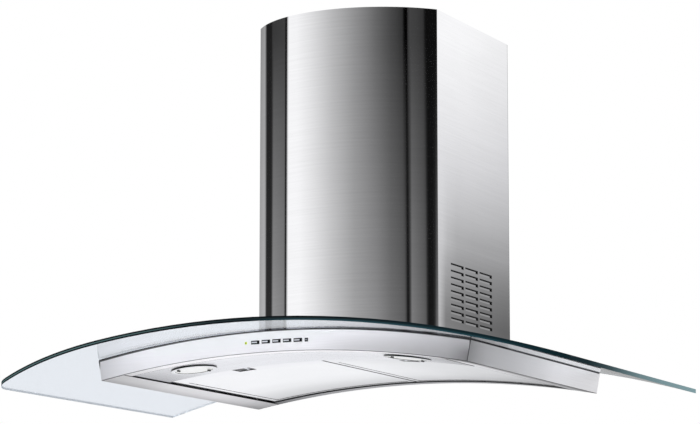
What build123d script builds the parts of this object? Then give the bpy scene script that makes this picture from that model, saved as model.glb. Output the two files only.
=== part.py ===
from build123d import *
from math import asin, atan2, cos, degrees, pi, radians, sin, sqrt
import os

# Curved glass chimney range hood, millimetres.
# +X is to the right of a person facing the hood, +Y points into the wall and +Z is up.
# The model is drawn with z = 0 at the crown of the glass underside and is lowered on saving,
# so that the saved origin is the centre of the wall fixing holes on the wall plane y = 0.

# ---- glass canopy -------------------------------------------------------------------------
glass_width = 900.0
glass_depth = 595.0
glass_thickness = 6.0
arch_radius = 1566.0
front_flat_radius = 4450.0
front_flat_half = 244.0
front_end_radius = 448.0
glass_corner_radius = 44.0
glass_opening_width = 206.0
glass_opening_rear = 22.0
glass_opening_front = 272.0
glass_opening_corner = 12.0

# ---- body box under the glass -------------------------------------------------------------
body_width = 594.0
body_side_depth = 490.0
body_front_bulge = 5.0
body_height = 31.5
gasket_thickness = 1.2
gasket_width = 11.0
gasket_inset = 0.6
sheet = 1.0
front_sheet = 1.2
seam = 0.4
corner_seam = 1.1
front_lip = 22.0
side_flange_edge = 253.0
back_flange = 21.0
lamp_panel_rear = 365.0
panel_gap = 1.0
lamp_panel_side_gap = 5.0

# ---- lamps --------------------------------------------------------------------------------
lamp_x = 172.3
lamp_y = -427.0
lamp_bezel_radius = 34.0
lamp_bezel_stand = 2.4
lamp_window_radius = 27.4
lamp_hole_radius = 32.0
lamp_neck_wall = 1.6
lamp_neck_height = 7.0
lamp_fit_gap = 0.3
lamp_lens_thickness = 2.4
lamp_lens_recess = 0.5
lamp_can_height = 20.0
lamp_can_wall = 1.0
lamp_led_radius = 13.0
lamp_led_height = 5.0

# ---- controls -----------------------------------------------------------------------------
control_drop = 16.2
button_width = 13.0
button_height = 5.0
button_pitch = 17.0
button_first_x = -35.0
button_count = 5
small_button_x = 46.5
small_button_size = 5.0
button_stand = 0.6
button_gap = 0.2
button_travel = 0.8
button_flange_margin = 1.0
button_flange_thickness = 0.8
button_flange_gap = 0.2
button_stem = 2.2
indicator_x = -50.0
indicator_radius = 1.9
indicator_stand = 0.5
indicator_length = 6.0
control_margin = 12.0
control_tray_depth = 13.0
control_tray_wall = 1.2
control_tray_height = 19.0
control_tray_gap = 0.3
board_thickness = 1.6
board_margin = 1.0
switch_body = 5.0
switch_height = 3.6
switch_clearance = 0.3

# ---- filters ------------------------------------------------------------------------------
filter_side_gap = 4.5
filter_centre_gap = 2.0
filter_front_gap = 1.5
filter_rear_gap = 3.0
filter_recess = 1.6
filter_thickness = 8.0
filter_border = 8.0
filter_latch_bar = 43.0
filter_mesh_recess = 0.5
filter_mesh_gap = 0.3
filter_mesh_thickness = 3.0
filter_pin_radius = 2.0
filter_pin_clearance = 0.05
filter_pin_rise = 2.4
filter_pin_inset = 5.5
filter_pin_length = 11.0
filter_pin_end = 0.5
filter_ear_gap = 1.2
filter_ear_thickness = 1.6
filter_ear_margin = 3.0
latch_pocket_width = 28.5
latch_pocket_length = 30.0
latch_pocket_setback = 5.0
latch_pocket_depth = 5.0
latch_slider_width = 26.0
latch_slider_length = 20.0
latch_slider_thickness = 3.0
latch_slider_recess = 0.7
latch_grip_width = 22.0
latch_grip_height = 1.0
latch_grip_length = 1.6
latch_travel = 5.0
latch_offset = 9.0
latch_gap = 0.5
latch_spring_thickness = 0.5
latch_spring_width = 12.0
latch_spring_hook = 3.0
latch_spring_clearance = 0.3

# ---- chimney ------------------------------------------------------------------------------
chimney_width = 297.5
chimney_side_depth = 268.5
chimney_front_bulge = 70.3
chimney_top = 498.3
chimney_sheet = 1.0
chimney_flange = 15.0
chimney_slide_gap = 0.6
chimney_seat_gap = 0.3
chimney_base_gap = 1.0
chimney_upper_drop = 3.0
chimney_upper_bottom = 22.0
vent_length = 47.0
vent_height = 5.0
vent_column_pitch = 53.3
vent_columns = 3
vent_first_y = -223.0
vent_row_pitch = 10.15
vent_rows = 9
vent_lowest = 38.3
bracket_height = 30.0
bracket_drop = 14.0
bracket_sheet = 1.5
bracket_ear_depth = 28.0
bracket_hole_radius = 3.0
bracket_hole_spacing = 200.0
bracket_half = 126.0
bracket_inner = 70.0
bracket_hole_rise = 16.0

# ---- blower -------------------------------------------------------------------------------
box_half_width = 118.0
box_front = 285.0
box_top = 268.0
box_sheet = 1.2
box_flange = 15.0
clamp_gasket_thickness = 1.5
wheel_y = -168.0
wheel_z = 130.0
wheel_radius = 75.0
wheel_width = 88.0
wheel_disc = 1.6
wheel_ring = 2.0
blade_count = 32
blade_depth = 14.0
blade_thickness = 1.2
blade_lean = 35.0
hub_radius = 10.0
hub_back = 14.0
hub_front = 6.0
scroll_start_radius = 86.0
scroll_step = 9.0
scroll_half_width = 52.0
scroll_sheet = 1.2
scroll_cutoff = 23.0
inlet_hole_radius = 66.0
inlet_ring_outer = 71.0
inlet_ring_inner = 60.0
inlet_ring_thickness = 3.0
motor_radius = 40.0
motor_start = 9.0
motor_length = 53.0
motor_chamfer = 3.0
shaft_radius = 4.0
shaft_clearance = 0.05
shaft_front_end = 14.0
shaft_rear_end = 72.0
motor_bracket_sheet = 2.0
motor_bracket_outer = 44.0
motor_bracket_reach = 84.0
motor_bracket_arm = 14.0
motor_bracket_hole = 12.0
motor_screw_circle = 28.0
collar_radius = 75.0
collar_wall = 1.5
collar_height = 50.0
collar_stop_radius = 79.0
collar_stop_height = 4.0
collar_base_half_x = 84.0
collar_base_half_y = 74.0
collar_base_thickness = 2.0
collar_screw_margin = 2.0
damper_height = 16.0
damper_pin_radius = 1.5
damper_pin_clearance = 0.05
damper_wall_gap = 1.2
damper_thickness = 1.2
damper_knuckle_radius = 3.0
damper_knuckle_gap = 0.4
damper_knuckle_span = 65.0
damper_centre_gap = 3.6
capacitor_radius = 14.0
capacitor_length = 60.0
capacitor_chamfer = 1.5
capacitor_x = -78.0
capacitor_z = 120.0
terminal_half_width = 38.0
terminal_depth = 26.0
terminal_height = 58.0
terminal_bottom = 150.0
terminal_wall = 2.0
lid_thickness = 2.0
gland_radius = 9.0
gland_bore_radius = 4.5
gland_height = 16.0
gland_nut_radius = 11.5
gland_nut_height = 5.0

# ---- wall fixing --------------------------------------------------------------------------
fixing_height = 130.0
hanger_half_width = 118.0
hanger_bottom = 22.0
hanger_top = 240.0
hanger_sheet = 1.5
fixing_hole_radius = 4.25
fixing_spacing_x = 180.0
fixing_spacing_z = 120.0
hanger_screw_x = 40.0
hanger_screw_margin = 12.0

# ---- screws -------------------------------------------------------------------------------
screw_radius = 2.0
screw_hole_gap = 0.15
screw_head_radius = 3.8
screw_head_height = 2.2
bolt_radius = 2.5
bolt_head_radius = 4.6
bolt_head_height = 3.0
bolt_nut_radius = 4.6
bolt_nut_height = 4.0
bolt_end = 1.0
bolt_bush_radius = 5.0
bush_gap = 0.1
bolt_x = 126.0
bolt_rear = 40.0
bolt_front = 262.0

# A flat piece stands this much off the arched face that it is seated on.
flat_seat_gap = 0.02

# ---- worked out ---------------------------------------------------------------------------
body_top_radius = arch_radius - gasket_thickness
body_bottom_radius = arch_radius - body_height
glass_top_radius = arch_radius + glass_thickness
clamp_radius = glass_top_radius + clamp_gasket_thickness
box_flange_radius = clamp_radius + box_sheet
panel_top_radius = body_bottom_radius + sheet
filter_bottom_radius = body_bottom_radius + filter_recess
filter_top_radius = filter_bottom_radius + filter_thickness
body_half = body_width / 2
chimney_half = chimney_width / 2
collar_y = wheel_y + (scroll_start_radius + 3 * scroll_step + scroll_cutoff) / 2
collar_z = box_top + collar_base_thickness
filter_front = lamp_panel_rear - filter_front_gap
filter_rear = back_flange + filter_rear_gap
far = 1000.0
# Cutting solids run this much past the faces that they open.
cut = 5.0

# ---- helpers ------------------------------------------------------------------------------
arch_axis = Axis((0, 0, -arch_radius), (0, 1, 0))


def arc_angle(x, radius):
    """Angle round the arch, in radians, of a point x to the right at this radius."""
    return asin(x / radius)


def arch_point(radius, angle):
    return (radius * sin(angle), radius * cos(angle) - arch_radius)


def arch_height(x, radius):
    return sqrt(radius**2 - x**2) - arch_radius


def sector_by_angle(inner, outer, start, end, rear, front):
    """Arched slab between two radii and two angles, from y = -rear forward to y = -front."""
    middle = (start + end) / 2
    top = ThreePointArc(arch_point(outer, start), arch_point(outer, middle), arch_point(outer, end))
    bottom = ThreePointArc(arch_point(inner, end), arch_point(inner, middle), arch_point(inner, start))
    right = Line(arch_point(outer, end), arch_point(inner, end))
    left = Line(arch_point(inner, start), arch_point(outer, start))
    face = Plane.XZ * make_face([top, right, bottom, left])
    return Pos(0, -rear, 0) * extrude(face, front - rear)


def sector(inner, outer, left, right, rear, front, reference=None):
    """The same slab with its ends given as x at the reference radius."""
    radius = reference or arch_radius
    return sector_by_angle(inner, outer, arc_angle(left, radius), arc_angle(right, radius), rear, front)


def prism(face, bottom, top):
    return Pos(0, 0, bottom) * extrude(face, top - bottom)


def box(x0, x1, y0, y1, z0, z1):
    return Pos((x0 + x1) / 2, (y0 + y1) / 2, (z0 + z1) / 2) * Box(x1 - x0, y1 - y0, z1 - z0)


def rod(radius, start, end, direction, centre):
    """Cylinder along direction from start to end, with its axis through centre."""
    plane = Plane(origin=centre, z_dir=direction)
    return plane * Pos(0, 0, (start + end) / 2) * Cylinder(radius, end - start)


def upright(radius, bottom, top):
    """Cylinder about the Z axis."""
    return rod(radius, bottom, top, (0, 0, 1), (0, 0, 0))


def round_arch(shape, x, radius):
    """Swing a shape drawn at the crown to a place x to the right at this radius."""
    return shape.rotate(arch_axis, degrees(arc_angle(x, radius)))


def group(shapes):
    return Compound(children=[s for shape in shapes for s in shape.solids()])


def save(name, shape):
    solids = [solid.moved(Location((0, 0, -fixing_height))) for solid in shape.solids()]
    shape = solids[0] if len(solids) == 1 else Compound(children=solids)
    shape.label = name
    export_step(shape, os.path.join("parts", name + ".step"))


def save_pair(name, shape):
    save(name + "_right", shape)
    save(name + "_left", mirror(shape, about=Plane.YZ))


# ---- plan outlines ------------------------------------------------------------------------
def glass_outline():
    """Straight back and sides, a nearly flat front, tighter front ends and rounded corners."""
    half = glass_width / 2
    flat_angle = asin(front_flat_half / front_flat_radius)
    flat_centre_y = -glass_depth + front_flat_radius
    join_y = flat_centre_y - front_flat_radius * cos(flat_angle)
    end_centre_x = front_flat_half - front_end_radius * sin(flat_angle)
    end_centre_y = join_y + front_end_radius * cos(flat_angle)
    corner_x = half - glass_corner_radius
    reach = front_end_radius - glass_corner_radius
    corner_y = end_centre_y - sqrt(reach**2 - (corner_x - end_centre_x) ** 2)
    lean = atan2(corner_y - end_centre_y, corner_x - end_centre_x)

    def end_point(angle):
        x = end_centre_x + front_end_radius * cos(angle)
        return (x, end_centre_y + front_end_radius * sin(angle))

    def corner_point(angle):
        x = corner_x + glass_corner_radius * cos(angle)
        return (x, corner_y + glass_corner_radius * sin(angle))

    def flip(point):
        return (-point[0], point[1])

    join = (front_flat_half, join_y)
    end_middle = end_point((lean + flat_angle - pi / 2) / 2)
    tangent = end_point(lean)
    edges = [
        ThreePointArc(flip(join), (0, -glass_depth), join),
        ThreePointArc(join, end_middle, tangent),
        ThreePointArc(tangent, corner_point(lean / 2), (half, corner_y)),
        Line((half, corner_y), (half, 0)),
        Line((half, 0), (-half, 0)),
        Line((-half, 0), (-half, corner_y)),
        ThreePointArc((-half, corner_y), flip(corner_point(lean / 2)), flip(tangent)),
        ThreePointArc(flip(tangent), flip(end_middle), flip(join)),
    ]
    return make_face(edges)


def body_outline(inset):
    """Plan of the body behind its bulged front, moved back by inset."""
    side = body_half + 2 * cut
    radius = (body_half**2 + body_front_bulge**2) / (2 * body_front_bulge)
    crown = -body_side_depth - body_front_bulge + inset
    corner = crown + radius - inset - sqrt((radius - inset) ** 2 - side**2)
    edges = [
        ThreePointArc((-side, corner), (0, crown), (side, corner)),
        Line((side, corner), (side, far)),
        Line((side, far), (-side, far)),
        Line((-side, far), (-side, corner)),
    ]
    return make_face(edges)


def chimney_outline(inset, rear=0.0):
    """D-shaped plan: straight back and sides and a round front, moved inward by inset."""
    bulge = chimney_front_bulge
    radius = (chimney_half**2 + bulge**2) / (2 * bulge)
    half = chimney_half - inset
    centre_y = -chimney_side_depth - bulge + radius
    crown = centre_y - radius + inset
    corner = centre_y - sqrt((radius - inset) ** 2 - half**2)
    edges = [
        ThreePointArc((-half, corner), (0, crown), (half, corner)),
        Line((half, corner), (half, rear)),
        Line((half, rear), (-half, rear)),
        Line((-half, rear), (-half, corner)),
    ]
    return make_face(edges)


# ---- glass, gaskets and clamping bolts ----------------------------------------------------
def bolt_places():
    return [(x, -y) for x in (-bolt_x, bolt_x) for y in (bolt_rear, bolt_front)]


def at_bolts(shape):
    """Copies of a bolt piece drawn upright at the crown, one at each clamping bolt."""
    return [round_arch(Pos(0, y, 0) * shape, x, glass_top_radius) for x, y in bolt_places()]


def drill_bolts(shape, radius):
    for hole in at_bolts(upright(radius, -body_height, body_height)):
        shape = shape - hole
    return shape


def air_opening():
    """Air way from the body up through the top plate, gaskets and glass."""
    depth = glass_opening_front - glass_opening_rear
    plan = RectangleRounded(glass_opening_width, depth, glass_opening_corner)
    return prism(Pos(0, -(glass_opening_front + glass_opening_rear) / 2) * plan, -far, far)


def make_glass():
    edge = glass_width / 2 + 2 * cut
    slab = sector(arch_radius, glass_top_radius, -edge, edge, 0, glass_depth + cut)
    glass = slab & prism(glass_outline(), -far, far)
    glass = glass - air_opening()
    return drill_bolts(glass, bolt_bush_radius)


def make_body_gasket():
    edge = body_half - gasket_inset
    ring = sector(body_top_radius, arch_radius, -edge, edge, gasket_inset, body_side_depth + body_front_bulge)
    ring = ring & prism(body_outline(gasket_inset), -far, far)
    inner_edge = edge - gasket_width
    inner_rear = gasket_inset + gasket_width
    hole = sector(body_top_radius - cut, arch_radius + cut, -inner_edge, inner_edge, inner_rear, far)
    ring = ring - (hole & prism(body_outline(inner_rear), -far, far))
    edge = box_half_width + box_flange
    pad = sector(body_top_radius, arch_radius, -edge, edge, gasket_inset + gasket_width + seam,
                 box_front + box_flange)
    return group([ring, drill_bolts(pad - air_opening(), bolt_radius + screw_hole_gap)])


def inside_chimney():
    """Room for what lies on the glass inside both chimney sections."""
    return prism(chimney_outline(upper_inset() + chimney_sheet + chimney_base_gap), -far, far)


def make_clamp_gasket():
    edge = box_half_width + box_flange
    ring = sector(glass_top_radius, clamp_radius, -edge, edge, hanger_sheet, box_front + box_flange)
    ring = ring & inside_chimney()
    return drill_bolts(ring - air_opening(), bolt_radius + screw_hole_gap)


def make_glass_bushes():
    sleeve = upright(bolt_bush_radius - bush_gap, bush_gap, glass_thickness - bush_gap)
    return group(at_bolts(sleeve - upright(bolt_radius + screw_hole_gap, -far, far)))


def make_glass_bolts():
    head_seat = box_flange_radius - arch_radius
    bottom = -gasket_thickness - sheet - bolt_nut_height - bolt_end
    shank = upright(bolt_radius, bottom, head_seat + bolt_head_height / 2)
    head = upright(bolt_head_radius, head_seat, head_seat + bolt_head_height)
    return group(at_bolts(shank + head))


def make_glass_bolt_nuts():
    top = -gasket_thickness - sheet
    nut = extrude(RegularPolygon(bolt_nut_radius, 6), bolt_nut_height)
    nut = Pos(0, 0, top - bolt_nut_height - flat_seat_gap) * nut
    return group(at_bolts(nut - upright(bolt_radius, -far, far)))


# ---- body shell ---------------------------------------------------------------------------
def make_top_plate():
    edge = body_half - sheet - seam
    inset = front_sheet + seam
    plate = sector(body_top_radius - sheet, body_top_radius, -edge, edge, sheet + seam, far)
    plate = plate & prism(body_outline(inset), -far, far)
    return drill_bolts(plate - air_opening(), bolt_radius + screw_hole_gap)


def on_front(shape, x):
    """Place a control piece, drawn with its face at y = 0, on the front panel x to the right."""
    return Pos(x, -body_side_depth - body_front_bulge, arch_height(x, arch_radius - control_drop)) * shape


def button_places():
    """Name, x, width and height of each button on the front panel."""
    wide = [
        ("button_%d" % (i + 1), button_first_x + i * button_pitch, button_width, button_height)
        for i in range(button_count)
    ]
    return wide + [("button_small", small_button_x, small_button_size, small_button_size)]


def make_front_panel():
    rear = body_side_depth - 2 * front_lip
    full = sector(body_bottom_radius, body_top_radius, -body_half, body_half, rear, far)
    wall = full & prism(body_outline(0) - body_outline(front_sheet), -far, far)
    lip_edge = side_flange_edge - panel_gap
    lip = sector(body_bottom_radius, panel_top_radius, -lip_edge, lip_edge, rear, far, body_bottom_radius)
    lip = lip & prism(body_outline(front_sheet / 2) - body_outline(front_lip), -far, far)
    panel = wall + lip
    for name, x, width, height in button_places():
        panel = panel - on_front(Box(width + 2 * button_gap, cut, height + 2 * button_gap), x)
    hole = rod(indicator_radius + button_gap / 2, -cut, cut, (0, 1, 0), (0, 0, 0))
    return panel - on_front(hole, indicator_x)


def pin_y():
    return -(filter_rear + filter_pin_inset)


def pin_z():
    """Height of the filter pins: just inside the low outer end of the curved frame."""
    outer = side_flange_edge - filter_side_gap
    return arch_height(outer, filter_bottom_radius) + filter_pin_rise


def make_side_panel():
    wall = sector(body_bottom_radius, body_top_radius, body_half - sheet, body_half, 0, far)
    flange = sector_by_angle(body_bottom_radius, panel_top_radius,
                             arc_angle(side_flange_edge, body_bottom_radius),
                             arc_angle(body_half - sheet / 2, arch_radius), sheet + seam, far)
    panel = (wall + flange) & prism(body_outline(front_sheet + corner_seam), -far, far)
    ear_start = side_flange_edge + filter_ear_gap
    reach = filter_ear_margin + filter_pin_radius
    ear = box(ear_start, ear_start + filter_ear_thickness, pin_y() - reach, pin_y() + reach,
              arch_height(ear_start, panel_top_radius) - sheet / 2, pin_z() + reach)
    hole = rod(filter_pin_radius + filter_pin_clearance, ear_start - filter_ear_gap, ear_start + cut,
               (1, 0, 0), (0, pin_y(), pin_z()))
    return panel + ear - hole


def make_back_panel():
    edge = body_half - sheet - seam
    wall = sector(body_bottom_radius, body_top_radius, -edge, edge, 0, sheet)
    flange_edge = side_flange_edge - panel_gap
    flange = sector(body_bottom_radius, panel_top_radius, -flange_edge, flange_edge, sheet / 2, back_flange,
                    body_bottom_radius)
    return wall + flange


def make_lamp_panel():
    edge = side_flange_edge - lamp_panel_side_gap
    radius = body_bottom_radius
    panel = sector(radius, panel_top_radius, -edge, edge, lamp_panel_rear, far, radius)
    panel = panel & prism(body_outline(front_lip + panel_gap), -far, far)
    for x in (-lamp_x, lamp_x):
        panel = panel - at_lamp(upright(lamp_hole_radius + lamp_fit_gap, -body_height, body_height), x)
    return panel


# ---- lamps --------------------------------------------------------------------------------
def at_lamp(shape, x):
    """Place a lamp piece, drawn at the crown on the underside of the lamp panel."""
    return round_arch(Pos(0, lamp_y, -body_height) * shape, x, body_bottom_radius)


def make_lamp_bezel():
    seat_drop = lamp_bezel_radius**2 / (2 * body_bottom_radius) + flat_seat_gap
    ring = upright(lamp_bezel_radius, -lamp_bezel_stand, -seat_drop)
    ring = fillet(ring.edges().sort_by(Axis.Z)[0], lamp_bezel_stand / 2)
    neck_radius = lamp_hole_radius - 2 * lamp_fit_gap
    neck = upright(neck_radius, -lamp_bezel_stand / 2, lamp_neck_height)
    bore = upright(lamp_window_radius, -far, far)
    seat = upright(neck_radius - lamp_neck_wall, lamp_lens_top(), far)
    return ring + neck - bore - seat


def lamp_lens_top():
    return -lamp_bezel_stand + lamp_lens_recess + lamp_lens_thickness


def make_lamp_lens():
    bottom = lamp_lens_top() - lamp_lens_thickness
    return upright(lamp_window_radius - lamp_fit_gap, bottom, lamp_lens_top())


def make_lamp_housing():
    bottom = sheet + flat_seat_gap
    top = bottom + lamp_can_height
    can = upright(lamp_hole_radius + lamp_can_wall, bottom, top)
    return can - upright(lamp_hole_radius, bottom - cut, top - lamp_can_wall)


def make_lamp_led():
    top = sheet + flat_seat_gap + lamp_can_height - lamp_can_wall
    dome = upright(lamp_led_radius, top - lamp_led_height, top)
    return chamfer(dome.edges().sort_by(Axis.Z)[0], lamp_led_height / 4)


# ---- controls -----------------------------------------------------------------------------
def control_span():
    """Left and right ends of the control tray behind the front panel."""
    return indicator_x - control_margin, small_button_x + control_margin


def tray_face():
    return front_sheet + control_tray_gap


def make_control_housing():
    left, right = control_span()
    front = tray_face()
    half = control_tray_height / 2
    tray = box(left, right, front, front + control_tray_depth, -half, half)
    inside = box(left + control_tray_wall, right - control_tray_wall, front - cut,
                 front + control_tray_depth - control_tray_wall, -half + control_tray_wall,
                 half - control_tray_wall)
    return on_front(tray - inside, 0)


def board_front():
    return tray_face() + control_tray_depth - control_tray_wall - board_thickness


def make_control_board():
    left, right = control_span()
    rim = control_tray_wall + board_margin
    half = control_tray_height / 2 - rim
    board = box(left + rim, right - rim, board_front(), board_front() + board_thickness, -half, half)
    return on_front(board, 0)


def stem_end():
    """How far behind the front face a button's stem reaches: its switch is just beyond."""
    return board_front() - switch_height - switch_clearance - button_travel


def make_tact_switches():
    switches = []
    for name, x, width, height in button_places():
        body = box(-switch_body / 2, switch_body / 2, board_front() - switch_height, board_front(),
                   -switch_body / 2, switch_body / 2)
        switches.append(on_front(body, x))
    return group(switches)


def make_button(x, width, height):
    """Key cap through the front panel, with a retaining flange and a stem to its switch."""
    cap = box(-width / 2, width / 2, -button_stand, front_sheet + button_flange_gap, -height / 2, height / 2)
    cap = fillet(cap.faces().sort_by(Axis.Y)[0].edges(), button_stand / 2)
    back = front_sheet + button_flange_gap
    flange = box(-width / 2 - button_flange_margin, width / 2 + button_flange_margin, back,
                 back + button_flange_thickness, -height / 2 - button_flange_margin,
                 height / 2 + button_flange_margin)
    stem = box(-button_stem / 2, button_stem / 2, back, stem_end(), -button_stem / 2, button_stem / 2)
    return on_front(cap + flange + stem, x)


def make_indicator():
    shaft = rod(indicator_radius, -indicator_stand, indicator_length, (0, 1, 0), (0, 0, 0))
    shaft = fillet(shaft.edges().sort_by(Axis.Y)[0], indicator_stand)
    foot = rod(indicator_radius + button_gap, indicator_length, board_front(), (0, 1, 0), (0, 0, 0))
    return on_front(shaft + foot, indicator_x)


# ---- grease filters -----------------------------------------------------------------------
def filter_slab(inner, outer, border_in=0.0, front_in=0.0):
    """Right-hand filter outline between two radii, moved inward by the borders."""
    outer_edge = side_flange_edge - filter_side_gap - border_in
    return sector_by_angle(inner, outer, arc_angle(filter_centre_gap + border_in, filter_bottom_radius),
                           arc_angle(outer_edge, filter_bottom_radius),
                           filter_rear + border_in, filter_front - border_in - front_in)


def filter_middle():
    return (filter_centre_gap + side_flange_edge - filter_side_gap) / 2


def at_filter_middle(shape):
    """Place a latch piece, drawn at the crown on the filter underside, near the filter's middle."""
    return round_arch(shape, filter_middle() + latch_offset, filter_bottom_radius)


def filter_floor():
    return filter_bottom_radius - arch_radius


def latch_box(width, front, rear, bottom, top):
    return box(-width / 2, width / 2, -front, -rear, filter_floor() + bottom, filter_floor() + top)


def make_filter_frame():
    frame = filter_slab(filter_bottom_radius, filter_top_radius)
    window = filter_slab(filter_bottom_radius - cut, filter_top_radius + cut, filter_border,
                         filter_latch_bar - filter_border)
    frame = frame - window
    pocket_front = filter_front - latch_pocket_setback
    pocket = latch_box(latch_pocket_width, pocket_front, pocket_front - latch_pocket_length, -cut,
                       latch_pocket_depth)
    slot = latch_box(latch_spring_width + 2 * latch_gap, filter_front + cut, pocket_front - cut,
                     latch_slider_recess, latch_pocket_depth)
    frame = frame - at_filter_middle(pocket) - at_filter_middle(slot)
    pin_end = side_flange_edge + filter_ear_gap + filter_ear_thickness + filter_pin_end
    pin = rod(filter_pin_radius, pin_end - filter_pin_length, pin_end, (1, 0, 0), (0, pin_y(), pin_z()))
    return frame + pin


def make_filter_mesh():
    edge = filter_border + filter_mesh_gap
    bottom = filter_bottom_radius + filter_mesh_recess
    return filter_slab(bottom, bottom + filter_mesh_thickness, edge, filter_latch_bar - filter_border)


def latch_front():
    """Front edge of the latch slider, closed against the front of its pocket."""
    return filter_front - latch_pocket_setback - latch_gap


def make_latch_slider():
    front = latch_front()
    slab = latch_box(latch_slider_width, front, front - latch_slider_length, latch_slider_recess,
                     latch_slider_recess + latch_slider_thickness)
    grip_rear = front - latch_slider_length
    grip_bottom = latch_slider_recess - latch_grip_height
    grip = latch_box(latch_grip_width, grip_rear + latch_grip_length, grip_rear, grip_bottom,
                     grip_bottom + latch_slider_thickness)
    return at_filter_middle(slab + grip)


def make_latch_spring():
    """Leaf spring from the slider out over the rear edge of the lamp panel."""
    bottom = latch_slider_recess + latch_slider_thickness - latch_spring_thickness
    hook_top = body_bottom_radius + sheet + latch_spring_clearance - filter_bottom_radius
    root = latch_front() + latch_spring_clearance
    nose = lamp_panel_rear + latch_spring_hook
    bend = filter_front + latch_spring_clearance
    strip = latch_box(latch_spring_width, bend + latch_spring_thickness, root, bottom,
                      bottom + latch_spring_thickness)
    drop = latch_box(latch_spring_width, bend + latch_spring_thickness, bend, hook_top,
                     bottom + latch_spring_thickness)
    hook = latch_box(latch_spring_width, nose, bend, hook_top, hook_top + latch_spring_thickness)
    return at_filter_middle(strip + drop + hook)


# ---- chimney ------------------------------------------------------------------------------
def chimney_shell(inset, bottom, top):
    """D-shaped tube of sheet, open at the back between two return flanges."""
    inner = inset + chimney_sheet
    tube = prism(chimney_outline(inset, -inset) - chimney_outline(inner, -inner), bottom, top)
    gap = chimney_half - inset - chimney_flange
    return tube - box(-gap, gap, -inner - cut, cut, bottom - cut, top + cut)


def make_chimney_lower():
    shell = chimney_shell(0, -chimney_half, chimney_top)
    seat = rod(glass_top_radius + chimney_seat_gap, -far, far, (0, 1, 0), (0, 0, -arch_radius))
    shell = shell - seat
    for row in range(vent_rows):
        for column in range(vent_columns):
            y = vent_first_y + vent_length / 2 + column * vent_column_pitch
            z = vent_lowest + row * vent_row_pitch
            shell = shell - box(-far, far, y - vent_length / 2, y + vent_length / 2,
                                z - vent_height / 2, z + vent_height / 2)
    return shell


def upper_inset():
    return chimney_sheet + chimney_slide_gap


def make_chimney_upper():
    shell = chimney_shell(upper_inset(), chimney_upper_bottom, chimney_top - chimney_upper_drop)
    for x, z in chimney_screw_places():
        shell = shell - rod(screw_radius + screw_hole_gap, -2 * cut, 0, (0, 1, 0), (x, 0, z))
    return shell


def bracket_top():
    return chimney_top - bracket_drop


def bracket_wing():
    """Front and rear of the bracket wings, which lie against the upper chimney's flanges."""
    rear = upper_inset() + chimney_sheet + chimney_seat_gap
    return rear + bracket_sheet, rear


def make_chimney_bracket():
    """Right-hand bracket: a plate on the wall, stepped out to a wing behind the chimney's flange."""
    top = bracket_top()
    bottom = top - bracket_height
    front, rear = bracket_wing()
    inside = chimney_half - upper_inset() - chimney_sheet - chimney_seat_gap
    start = bracket_half - 2 * bracket_sheet
    plate = box(bracket_inner, bracket_half, -bracket_sheet, 0, bottom, top)
    step = box(start, bracket_half, -front, 0, bottom, top)
    wing = box(start, inside, -front, -rear, bottom, top)
    ear = box(inside - bracket_sheet, inside, -bracket_ear_depth, -rear, bottom, top)
    shape = plate + step + wing + ear
    middle = (top + bottom) / 2
    for z in (middle - bracket_hole_rise / 2, middle + bracket_hole_rise / 2):
        shape = shape - rod(bracket_hole_radius, -cut, cut, (0, 1, 0), (bracket_hole_spacing / 2, 0, z))
    for x, z in chimney_screw_places():
        shape = shape - rod(screw_radius + screw_hole_gap, -2 * cut, 0, (0, 1, 0), (x, 0, z))
    return shape


def chimney_screw_places():
    middle = bracket_top() - bracket_height / 2
    x = chimney_half - upper_inset() - chimney_sheet - bracket_sheet - screw_head_radius - chimney_base_gap
    rows = (middle - bracket_height / 4, middle + bracket_height / 4)
    return [(side * x, z) for side in (-1, 1) for z in rows]


def make_chimney_screws():
    front, rear = bracket_wing()
    screws = []
    for x, z in chimney_screw_places():
        shank = rod(screw_radius, -front - screw_head_height / 2, -upper_inset(), (0, 1, 0), (x, 0, z))
        head = rod(screw_head_radius, -front - screw_head_height, -front, (0, 1, 0), (x, 0, z))
        screws.append(shank + head)
    return group(screws)


# ---- blower box and wall plate ------------------------------------------------------------
def make_blower_box():
    half = box_half_width
    shell = box(-half, half, -box_front, -hanger_sheet, -half, box_top)
    shell = shell - box(-half + box_sheet, half - box_sheet, -box_front + box_sheet,
                        -hanger_sheet - box_sheet, -half - cut, box_top - box_sheet)
    seat = rod(clamp_radius, -far, far, (0, 1, 0), (0, 0, -arch_radius))
    shell = shell - seat
    edge = half + box_flange
    flange = sector(clamp_radius, box_flange_radius, -edge, edge, hanger_sheet, box_front + box_flange)
    inner_half = glass_opening_width / 2
    hole = box(-inner_half, inner_half, -glass_opening_front, -glass_opening_rear, -half, half)
    flange = (flange - hole) & inside_chimney()
    shell = drill_bolts(shell + flange, bolt_radius + screw_hole_gap)
    neck_x = scroll_half_width - scroll_sheet
    neck_y0 = wheel_y + scroll_cutoff + scroll_sheet
    neck_y1 = wheel_y + scroll_start_radius + 3 * scroll_step - scroll_sheet
    shell = shell - box(-neck_x, neck_x, neck_y0, neck_y1, box_top - cut, box_top + cut)
    for x, z in hanger_screw_places():
        shell = shell - rod(screw_radius + screw_hole_gap, -cut, 0, (0, 1, 0), (x, 0, z))
    for x, y in collar_screw_places():
        shell = shell - rod(screw_radius + screw_hole_gap, -cut, cut, (0, 0, 1), (x, y, box_top))
    return shell


def hanger_screw_places():
    rows = (hanger_bottom + hanger_screw_margin, hanger_top - hanger_screw_margin)
    return [(x, z) for x in (-hanger_screw_x, hanger_screw_x) for z in rows]


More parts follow.
